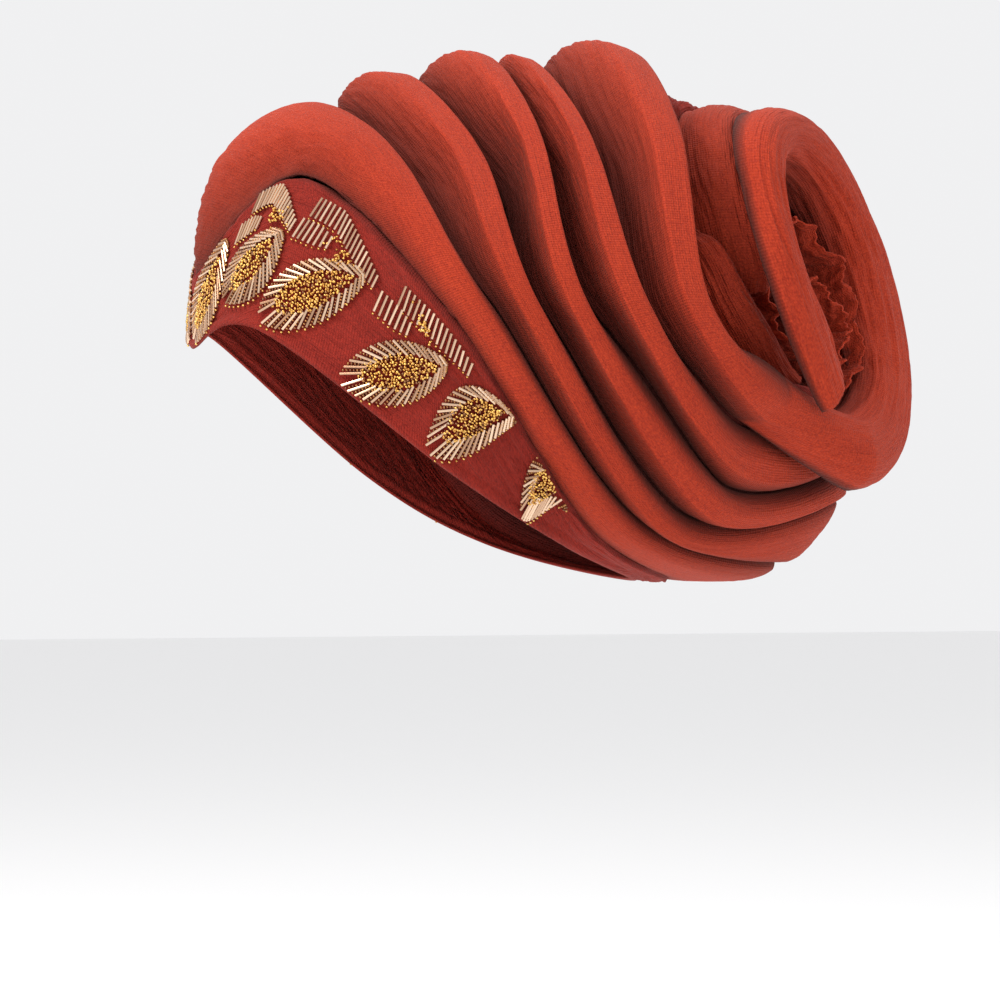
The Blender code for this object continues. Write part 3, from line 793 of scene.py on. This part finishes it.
# Rear rolls of the rosette: a second roll of cloth behind the ring, and the flat fold that lies
# between the fifth hoop fold and the ring. Both are pinned to the gathered neck.
BACK_ROLL = (
    (-40, .76, .13, -.22, -.50, -.50),
    (5, .96, .18, -.22, -.53, -.53),
    (40, 1.06, .19, -.21, -.53, -.53),
    (75, 1.18, .19, -.20, -.53, -.53),
    (104, 1.17, .17, -.14, -.49, -.49),
    (124, 1.00, .15, -.07, -.42, -.42),
    (143, .79, .15, -.03, -.38, -.38),
    (162, .60, .12, -.03, -.36, -.38),
    (172, .50, .05, -.10, -.36, -.38),
)
BACK_FOLD = (
    (150, .98, .03, -.30, -.37, -.37),
    (158, .91, .09, -.17, -.37, -.37),
    (176, .74, .12, -.12, -.35, -.37),
    (202, .57, .12, -.10, -.37, -.42),
    (250, .49, .08, -.12, -.42, -.46),
)
ROLL_CREASES = ((.034, .0060, .9, 0), (.015, .0026, .5, 1))
ROLL_LEVEL = 0.7
ROLL_CRUMPLE = 0.7
# Painted shade laid evenly over each rear roll
ROLL_SHADE = 0.1


def make_roll(name, node, table, seed):
    points = soften(roll_points(table, np.arange(0, len(table) - 1 + 1e-6, RING_STEP)), 5)
    run, across = lengths(points, False, FRONT_STEPS)
    layers = creased(run[:, None], across, ROLL_CREASES, seed) - ROLL_LEVEL
    depth = CRUMPLE_DEPTH * ROLL_CRUMPLE * layers
    points += depth[..., None] * grid_normals(points, False)
    # Painted shade: the rear rolls are painted a little darker all over
    mesh = cloth_mesh(name, points, run, across, ROLL_SHADE, False)
    roll = cloth_piece(name, mesh, red_gauze, FOLD_WALL)
    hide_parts(node)


make_roll("rear_roll", "rosette_back_roll", BACK_ROLL, 91)
make_roll("flat_fold", "back_fold", BACK_FOLD, 95)

# Core of the rosette: the end of the cloth, rolled up loosely and crushed into the ring, so that
# its layers stand as crumpled edges.
# Columns: angle, radius, foot, rim
CORE = (
    (-100, .50, -.48, .00),
    (-45, .55, -.50, .05),
    (10, .44, -.51, .08),
    (60, .52, -.52, .00),
    (115, .46, -.53, -.16),
    (190, .30, -.52, -.12),
    (262, .36, -.51, .06),
    (320, .30, -.53, .08),
    (380, .22, -.535, .02),
    (450, .15, -.535, -.10),
)
CORE_WAVES = 9
CORE_WAVE_DEPTH = 0.035
CORE_STEPS = 300
CORE_ROWS = 44
CORE_FLARE = 0.06
CORE_CRUMPLE = 0.0020
CORE_CREASES = ((.014, .0110, 1.0, 0), (.010, .0032, .4, 2))
CORE_LEVEL = 0.8
# Painted shade of the core, darkest at its foot inside the ring
CORE_SHADE = 0.75
# Columns: depth of the ragged edge, its waves per row of the table, seed
CORE_RAGS = ((.09, 3, 3), (.03, 11, 4))


def make_core():
    place = np.linspace(0, len(CORE) - 1, CORE_STEPS)
    columns = open_curve(CORE, place)[:, :, None]
    angle, radius, foot, rim = (columns[:, k] for k in range(4))
    waves = np.sin(2 * math.pi * CORE_WAVES * place / place[-1])[:, None]
    radius = radius + CORE_WAVE_DEPTH * waves
    up = np.linspace(0, 1, CORE_ROWS)[None]
    ragged = sum(
        depth * grain(place[:, None] * count, 0 * up, seed) for depth, count, seed in CORE_RAGS
    )
    points = rosette_point(
        angle, ROSETTE_RADIUS * radius * (1 + CORE_FLARE * up),
        ROSETTE_RADIUS * (foot + up * (rim + ragged - foot)),
    )
    run, across = lengths(points, False, CORE_ROWS - 1)
    layers = creased(run[:, None], across, CORE_CREASES, 101) - CORE_LEVEL
    points += (CORE_CRUMPLE * layers)[..., None] * grid_normals(points, False)
    # Painted shade: the core darkens towards its foot, down inside the ring
    mesh = cloth_mesh("core", points, run, across, CORE_SHADE * (1 - up) ** 1.2, False)
    core = cloth_piece("rosette_core_cloth", mesh, red_gauze, FOLD_WALL, 0)
    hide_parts("rosette_core")


make_core()

# Beadwork of the brow band: leaves of glass bugles swept back like a feather's barbs round a heap of
# gold seed beads, and zigzag bars of bugles above them. Rows of small brown beads fill the gaps. All
# are sewn through the band.
BEAD_SEAT = 0.0006
BUGLE_WIDTH = 0.0012
BUGLE_LENGTH = 0.0086
SEED_WIDTH = 0.0015
SEED_HEIGHT = 0.0011
FILLER_SHARE = 0.85
FILLERS_PER_GAP = 6
FILLER_HEIGHT = BEAD_SEAT + 0.0006
BUGLE_HEIGHT = BEAD_SEAT + BUGLE_WIDTH / 2
EDGE_HEIGHT = BEAD_SEAT + SEED_HEIGHT / 2
EDGE_SEED_SHIFT = (-.0008, .0006)
FIRST_BARB = 0.35
BARBS_END = 0.965
BARB_SWING = 0.05
LEAF_WIDTH = 0.027
LEAF_END = 0.10
LEAF_BELLY = 0.85
LEAF_FULLNESS = 0.80
BUGLES_PER_SIDE = 16
BARB_ANGLES = (6, 36, 52, 58, 66)
HEAP_SPACING = 0.00135
HEAP_SPAN = (.16, .88)
HEAP_HEIGHT = 0.0009
HEAP_BROWNS = 0.16
BAND_MARGIN = 0.01
BAND_TOP = -.015
BUGLE, GOLD, BROWN = 0, 1, 2
EDGE_SIDE = -1
# Lean of the bars' bugles, along the rows and along the stations
BAR_LEAN = (.93, .36)
# Beaded leaves of the left side: both ends as (rise from the crease, station) and a width share
LEAF_COLUMNS = ("stalk_rise", "stalk_station", "tip_rise", "tip_station", "width")
LEAVES = (
    (-.93, .13, -.18, .50, .88),
    (-.80, .62, -.38, 1.00, .86),
    (-.93, .99, -.29, 1.51, 1.0),
    (-.96, 1.44, -.32, 1.99, 1.0),
    (-.96, 1.86, .00, 2.46, 1.0),
    (-.93, 2.52, .45, 2.84, .95),
)
# Bars of bugles: the corners of each bar's middle line, and the count of bugles
BAR_BUGLE = 0.0094
BARS = (
    (((-.14, .72), (-.15, .90), (-.34, 1.07)), 17),
    (((-.28, .62), (-.31, .80)), 7),
    (((-.17, 1.17), (-.14, 1.34), (-.29, 1.57)), 18),
    (((-.33, 1.10), (-.30, 1.30)), 7),
    (((-.21, 1.70), (-.18, 1.88), (-.17, 2.16)), 16),
    (((-.37, 1.58), (-.35, 1.76)), 7),
)
# Small clusters of seeds under the bars: rise, station and count
CLUSTERS = ((-.30, .93, 26), (-.31, 1.36, 30), (-.24, 1.85, 30))


def band_steps(row, station):
    """The rows and stations per metre along the band's two own directions, at each place."""
    step = SMALL_STEP
    by_row = (envelope(row + step, station) - envelope(row - step, station)) / (2 * step)
    by_station = (envelope(row, station + step) - envelope(row, station - step)) / (2 * step)
    return by_row, by_station


def band_shift(row, station, offset):
    """The change of row and station that moves places of the band by an offset."""
    by_row, by_station = band_steps(row, station)
    a, b, c = ((p * q).sum(-1) for p, q in (
        (by_row, by_row), (by_row, by_station), (by_station, by_station)
    ))
    d, e = (by_row * offset).sum(-1), (by_station * offset).sum(-1)
    scale = a * c - b * b
    return (c * d - b * e) / scale, (a * e - b * d) / scale


def leaf_place(leaf, along, aside):
    """Rows and stations of places on a leaf, by their share along it and metres to the side."""
    row = leaf["stalk_rise"] + (leaf["tip_rise"] - leaf["stalk_rise"]) * along
    station = leaf["stalk_station"] + (leaf["tip_station"] - leaf["stalk_station"]) * along
    ahead = (envelope(leaf["tip_rise"], leaf["tip_station"])
             - envelope(leaf["stalk_rise"], leaf["stalk_station"]))
    sideways = np.cross(outward(row, station), ahead)
    sideways *= np.sign(ahead[0] if abs(ahead[0]) > 1 else 1)
    sideways /= np.linalg.norm(sideways, axis=-1, keepdims=True)
    change = band_shift(row, station, sideways * aside[..., None])
    return row + change[0], station + change[1]


def leaf_half(share):
    belly = np.abs(np.sin(math.pi * np.clip(share, 0, 1) ** LEAF_BELLY)) ** LEAF_FULLNESS
    return LEAF_WIDTH / 2 * (LEAF_END + (1 - LEAF_END) * belly)


def leaf_length(leaf):
    return np.linalg.norm(envelope(leaf["tip_rise"], leaf["tip_station"])
                          - envelope(leaf["stalk_rise"], leaf["stalk_station"]))


def bead_rows(kinds):
    """Joins rows of beads: each is (row, station, end row, end station, height, size, kind)."""
    return [np.concatenate(column) for column in zip(*kinds)]


def strung(start, end, height, kind, sizes):
    """Beads that reach from one place of the band to another."""
    count = len(start[0])
    return (
        start[0], start[1], end[0], end[1], np.full(count, height), np.broadcast_to(sizes, count),
        np.full(count, kind),
    )


def leaf_barbs(leaf, offset, random):
    """One side's barbs in metres along and across the leaf: outer ends, leans and lengths."""
    long, wide = leaf_length(leaf), leaf["width"]
    shares = np.linspace(0, BARBS_END, 200)
    edge = np.stack([shares * long, leaf_half(shares) * wide], -1)
    run = np.concatenate([[0], np.cumsum(np.linalg.norm(np.diff(edge, axis=0), axis=-1))])
    at = (np.arange(BUGLES_PER_SIDE) + FIRST_BARB + offset) / BUGLES_PER_SIDE
    at_share = np.interp(at[at < 1] * run[-1], run, shares)
    outer = np.stack([at_share * long, leaf_half(at_share) * wide], -1)
    turn = np.radians(np.interp(at_share, np.linspace(0, 1, len(BARB_ANGLES)), BARB_ANGLES))
    turn += random.normal(0, BARB_SWING, len(turn))
    reach = np.minimum(BUGLE_LENGTH, .95 * outer[:, 1] / np.sin(turn) + BUGLE_WIDTH / 2)
    return outer, np.stack([np.cos(turn), -np.sin(turn)], -1), reach[:, None]


def sewn_on_leaf(leaf, side, start, end, height, kind, sizes):
    """Beads between places in metres along the leaf and to its side."""
    long = leaf_length(leaf)
    ends = [leaf_place(leaf, spot[:, 0] / long, side * spot[:, 1]) for spot in (start, end)]
    return strung(*ends, height, kind, sizes)


def leaf_heap(leaf, random):
    """Seed beads heaped along the middle of a leaf, some of them brown."""
    long, wide = leaf_length(leaf), leaf["width"]
    x, y = np.meshgrid(
        np.arange(HEAP_SPAN[0] * long, HEAP_SPAN[1] * long, HEAP_SPACING),
        np.arange(-LEAF_WIDTH / 2, LEAF_WIDTH / 2, HEAP_SPACING * .87),
    )
    x = x + HEAP_SPACING / 2 * (np.arange(len(x)) % 2)[:, None]
    x, y = (c.ravel() + random.normal(0, .0003, c.size) for c in (x, y))
    room = leaf_half(x / long) * wide - BUGLE_LENGTH * .66
    inside = np.abs(y) < room * np.clip((x / long - .12) / .10, 0, 1)
    x, y = x[inside], y[inside]
    swell = np.clip(1 - (np.abs(y) / np.maximum(room[inside], .001)) ** 2, 0, 1)
    height = BEAD_SEAT + .0005 + swell * HEAP_HEIGHT * random.uniform(.3, 1, len(x))
    spin = random.uniform(0, 2 * math.pi, len(x))
    there = leaf_place(leaf, (x + .001 * np.cos(spin)) / long, y + .001 * np.sin(spin))
    here = leaf_place(leaf, x / long, y)
    kind = np.where(random.random(len(x)) < HEAP_BROWNS, BROWN, GOLD)
    return (*here, *there, height, random.uniform(.85, 1.1, len(x)), kind)


def leaf_beads(leaf, random):
    found = []
    for side in (-1, 1):
        outer, lean, reach = leaf_barbs(leaf, 0, random)
        inner = outer + lean * reach
        found.append(sewn_on_leaf(leaf, side, outer, inner, BUGLE_HEIGHT, BUGLE, 1.0))
        if side == EDGE_SIDE:
            tips = outer + np.array(EDGE_SEED_SHIFT)
            found.append(sewn_on_leaf(leaf, side, tips, outer, EDGE_HEIGHT, GOLD, .85))
        outer, lean, reach = leaf_barbs(leaf, .5, random)
        for k in range(FILLERS_PER_GAP):
            spot = outer + lean * reach * (.06 + .92 * k / FILLERS_PER_GAP)
            found.append(sewn_on_leaf(
                leaf, side, spot, spot + lean * .001, FILLER_HEIGHT, BROWN, FILLER_SHARE
            ))
    found.append(leaf_heap(leaf, random))
    return bead_rows(found)


def bar_beads(corners, count, random):
    corners = np.array(corners)
    run = np.concatenate([[0], np.cumsum(np.linalg.norm(np.diff(
        envelope(corners[:, 0], corners[:, 1]), axis=0), axis=-1))])
    at = np.linspace(.03, .97, count) * run[-1]
    row, station = (np.interp(at, run, corners[:, k]) for k in (0, 1))
    # Every bugle leans the same way, up and a little to the back
    by_row, by_station = band_steps(row, station)
    lean = np.array(BAR_LEAN) + random.normal(0, .02, (count, 2))
    aim = (lean[:, :1] * by_row / np.linalg.norm(by_row, axis=-1, keepdims=True)
           + lean[:, 1:] * by_station / np.linalg.norm(by_station, axis=-1, keepdims=True))
    aim /= np.linalg.norm(aim, axis=-1, keepdims=True)
    half = BAR_BUGLE / 2 * np.clip(np.linspace(1.6, .62, count), 0, 1)[:, None]
    change = band_shift(row, station, aim * half)
    low = (row - change[0], station - change[1])
    below = tuple(place - 1.25 * step for place, step in zip((row, station), change))
    high = (row + change[0], station + change[1])
    return bead_rows([
        strung(low, high, BUGLE_HEIGHT, BUGLE, 1.0),
        strung(below, low, EDGE_HEIGHT, GOLD, .8),
    ])


def cluster_beads(row, station, count, random):
    spread = random.normal(0, .0024, (count, 2))
    by_row, by_station = band_steps(np.full(count, row), np.full(count, station))
    offset = (spread[:, :1] * by_row / np.linalg.norm(by_row, axis=-1, keepdims=True)
              + spread[:, 1:] * by_station / np.linalg.norm(by_station, axis=-1, keepdims=True))
    change = band_shift(np.full(count, row), np.full(count, station), offset)
    here = (row + change[0], station + change[1])
    there = (here[0] + random.normal(0, .01, count), here[1] + random.normal(0, .01, count))
    height = BEAD_SEAT + random.uniform(.0004, .0016, count)
    return [*here, *there, height, random.uniform(.85, 1.1, count), np.full(count, GOLD)]


def bead_points(rows, mirrored):
    """A mesh of points that carries where each bead lies, how it is turned and what it is."""
    row, station, end_row, end_station, height, size, kind = rows
    keep = (np.maximum(row, end_row) < BAND_TOP) & (np.minimum(row, end_row) > -1 + BAND_MARGIN / 2)
    row, station, end_row, end_station, height, size, kind = (
        column[keep] for column in (row, station, end_row, end_station, height, size, kind)
    )
    side = -1 if mirrored else 1
    start = sunk(row, side * station, -height)
    end = sunk(end_row, side * end_station, -height)
    bugle = (kind == BUGLE)[:, None]
    middle = np.where(bugle, (start + end) / 2, start)
    length = np.linalg.norm(end - start, axis=-1)
    mesh = bpy.data.meshes.new("bead_points")
    mesh.from_pydata(middle.tolist(), [], [])
    facing = outward((row + end_row) / 2, side * (station + end_station) / 2)
    for name, values in (("aim", end - start), ("up", facing)):
        mesh.attributes.new(name, "FLOAT_VECTOR", "POINT").data.foreach_set(
            "vector", values.astype(np.float32).ravel()
        )
    tones = np.random.default_rng(len(row)).random(len(row))
    for name, values in (("length", length), ("size", size), ("kind", kind), ("tone", tones)):
        mesh.attributes.new(name, "FLOAT", "POINT").data.foreach_set(
            "value", values.astype(np.float32)
        )
    return mesh


def named(tree, name, kind="FLOAT"):
    node = add(tree, "GeometryNodeInputNamedAttribute", data_type=kind)
    node.inputs[0].default_value = name
    return node.outputs[0]


def sewn_beads_tree():
    """Puts a bugle or a seed bead at every point, turned and sized by the points' attributes."""
    tree = bpy.data.node_groups.new("sewn_beads", "GeometryNodeTree")
    socket(tree, "Points", "NodeSocketGeometry")
    for name in ("Bugle Width", "Seed Width", "Seed Height"):
        socket(tree, name, "NodeSocketFloat")
    for name in ("Bugle Glass", "Gold Glass", "Brown Glass"):
        socket(tree, name, "NodeSocketMaterial")
    socket(tree, "Beads", "NodeSocketGeometry", into=False)
    inside = add(tree, "NodeGroupInput").outputs
    turn = feed(tree, add(tree, "FunctionNodeAxesToRotation", primary_axis="Z", secondary_axis="X"), {
        0: named(tree, "aim", "FLOAT_VECTOR"), 1: named(tree, "up", "FLOAT_VECTOR")
    }).outputs[0]
    bugle = feed(tree, add(tree, "GeometryNodeMeshCylinder"), {
        "Vertices": 7, "Radius": .5, "Depth": 1.0
    }).outputs["Mesh"]
    seed = feed(tree, add(tree, "GeometryNodeMeshUVSphere"), {
        "Segments": 7, "Rings": 4, "Radius": .5
    }).outputs["Mesh"]
    seed = feed(tree, add(tree, "GeometryNodeSetShadeSmooth"), {0: seed}).outputs[0]
    size, kind = named(tree, "size"), named(tree, "kind")
    wide = maths(tree, "MULTIPLY", size, inside["Bugle Width"])
    long = feed(tree, add(tree, "ShaderNodeCombineXYZ"), {0: wide, 1: wide, 2: named(tree, "length")})
    across = maths(tree, "MULTIPLY", size, inside["Seed Width"])
    flat = maths(tree, "MULTIPLY", size, inside["Seed Height"])
    small = feed(tree, add(tree, "ShaderNodeCombineXYZ"), {0: across, 1: across, 2: flat})
    joined = add(tree, "GeometryNodeJoinGeometry")
    for number, (bead, scale, glass) in enumerate((
        (bugle, long, "Bugle Glass"), (seed, small, "Gold Glass"), (seed, small, "Brown Glass")
    )):
        chosen = feed(tree, add(tree, "FunctionNodeCompare", operation="EQUAL"), {
            "A": kind, "B": float(number), "Epsilon": .1
        }).outputs[0]
        placed = feed(tree, add(tree, "GeometryNodeInstanceOnPoints"), {
            "Points": inside["Points"], "Selection": chosen, "Instance": bead, "Rotation": turn,
            "Scale": scale.outputs[0],
        }).outputs[0]
        real = feed(tree, add(tree, "GeometryNodeRealizeInstances"), {0: placed}).outputs[0]
        glazed = feed(tree, add(tree, "GeometryNodeSetMaterial"), {
            "Geometry": real, "Material": inside[glass]
        }).outputs[0]
        wire(tree, glazed, joined.inputs[0])
    wire(tree, joined.outputs[0], add(tree, "NodeGroupOutput").inputs[0])
    return tree


def glass(name, dark, light, roughness, metallic):
    """Silver-lined glass, which differs a little from bead to bead."""
    material = bpy.data.materials.new(name)
    material.use_nodes = True
    tree = material.node_tree
    tone = add(tree, "ShaderNodeAttribute", attribute_name="tone").outputs["Fac"]
    feed(tree, tree.nodes["Principled BSDF"], {
        "Base Color": between(tree, tone, (*dark, 1), (*light, 1)), "Metallic": metallic,
        "Roughness": roughness, "Coat Weight": .6, "Coat Roughness": .08,
    })
    return material


SEWN_BEADS = sewn_beads_tree()
BEAD_SETTINGS = {
    "Bugle Width": BUGLE_WIDTH,
    "Seed Width": SEED_WIDTH,
    "Seed Height": SEED_HEIGHT,
    "Bugle Glass": glass("champagne_glass", (.42, .22, .12), (.86, .61, .42), .24, .85),
    "Gold Glass": glass("gold_glass", (.50, .22, .035), (.95, .60, .15), .26, .92),
    "Brown Glass": glass("brown_glass", (.16, .045, .012), (.46, .20, .05), .22, .6),
}


def sewn(name, rows, mirrored, node=None):
    """Sews the beads of one leaf or bar on, as one piece."""
    points = bpy.data.objects.new("bead_points", bead_points(rows, mirrored))
    bpy.context.scene.collection.objects.link(points)
    sewing = points.modifiers.new("beads", "NODES")
    sewing.node_group = SEWN_BEADS
    for item in SEWN_BEADS.interface.items_tree:
        if item.in_out == "INPUT" and item.name in BEAD_SETTINGS:
            sewing[item.identifier] = BEAD_SETTINGS[item.name]
    bpy.context.view_layer.update()
    evaluated = points.evaluated_get(bpy.context.evaluated_depsgraph_get())
    mesh = bpy.data.meshes.new_from_object(evaluated)
    bpy.data.objects.remove(points, do_unlink=True)
    mesh.name = name
    piece = bpy.data.objects.new(name, mesh)
    bpy.context.scene.collection.objects.link(piece)
    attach(piece, "root")
    if node:
        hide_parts(node)
    return piece


def make_beadwork():
    pieces = []
    for side, mirrored in (("left", False), ("right", True)):
        for number, columns in enumerate(LEAVES, 1):
            leaf = dict(zip(LEAF_COLUMNS, columns))
            beads = leaf_beads(leaf, np.random.default_rng(40 + number))
            name = f"leaf_{side}_{number}"
            pieces.append(sewn(f"beaded_{name}", beads, mirrored, name))
        for number, (corners, count) in enumerate(BARS, 1):
            beads = bar_beads(corners, count, np.random.default_rng(60 + number))
            name = f"bar_{side}_{number}"
            pieces.append(sewn(f"beaded_{name}", beads, mirrored, name))
        random = np.random.default_rng(80)
        clusters = bead_rows([cluster_beads(*columns, random) for columns in CLUSTERS])
        pieces.append(sewn(f"seed_clusters_{side}", clusters, mirrored))
    return pieces


beadwork = make_beadwork()

# Camera, light and ground: a long lens level with the wrap and 15 degrees in front of its side,
# soft studio light from the upper left, and a plain pale floor.
VIEW_TARGET = (0.0087, 0.0323, -0.0196)
VIEW_AZIMUTH = math.radians(75)
VIEW_DISTANCE = 1.8
LENS = 149
FLOOR_DROP = 0.26

view_from = (math.sin(VIEW_AZIMUTH), -math.cos(VIEW_AZIMUTH), 0)
camera = bpy.data.objects.new("camera", bpy.data.cameras.new("camera"))
camera.data.lens = LENS
camera.data.sensor_width = 36
camera.location = [t + VIEW_DISTANCE * d for t, d in zip(VIEW_TARGET, view_from)]
camera.rotation_euler = (math.radians(90), 0, VIEW_AZIMUTH)
bpy.context.scene.collection.objects.link(camera)
bpy.context.scene.camera = camera


def soft_light(name, azimuth, elevation, distance, size, power, colour=(1, 1, 1)):
    lamp = bpy.data.lights.new(name, "AREA")
    lamp.energy, lamp.size, lamp.color = power, size, colour
    thing = bpy.data.objects.new(name, lamp)
    turn, rise = math.radians(azimuth), math.radians(elevation)
    away = np.array([
        math.sin(turn) * math.cos(rise), -math.cos(turn) * math.cos(rise), math.sin(rise)
    ])
    thing.location = away * distance
    thing.rotation_euler = (math.radians(90) - rise, 0, turn)
    bpy.context.scene.collection.objects.link(thing)


soft_light("key", 22, 46, 1.7, 0.8, 21, (1, .97, .94))
soft_light("fill", 110, 15, 1.9, 1.4, 2, (.98, .98, 1))
soft_light("top", 210, 72, 1.7, 0.9, 6)
bpy.ops.mesh.primitive_plane_add(size=14, location=(0, 0, cad_box[0][2] - FLOOR_DROP))
floor = bpy.context.object
floor.name = "floor"
paper = bpy.data.materials.new("pale_paper")
paper.use_nodes = True
paper.node_tree.nodes["Principled BSDF"].inputs["Base Color"].default_value = (.90, .90, .90, 1)
paper.node_tree.nodes["Principled BSDF"].inputs["Roughness"].default_value = .9
floor.data.materials.append(paper)
world = bpy.data.worlds.new("studio")
bpy.context.scene.world = world
world.use_nodes = True
world.node_tree.nodes["Background"].inputs[0].default_value = (.95, .95, .96, 1)
world.node_tree.nodes["Background"].inputs[1].default_value = .92
bpy.context.scene.view_settings.view_transform = "Standard"
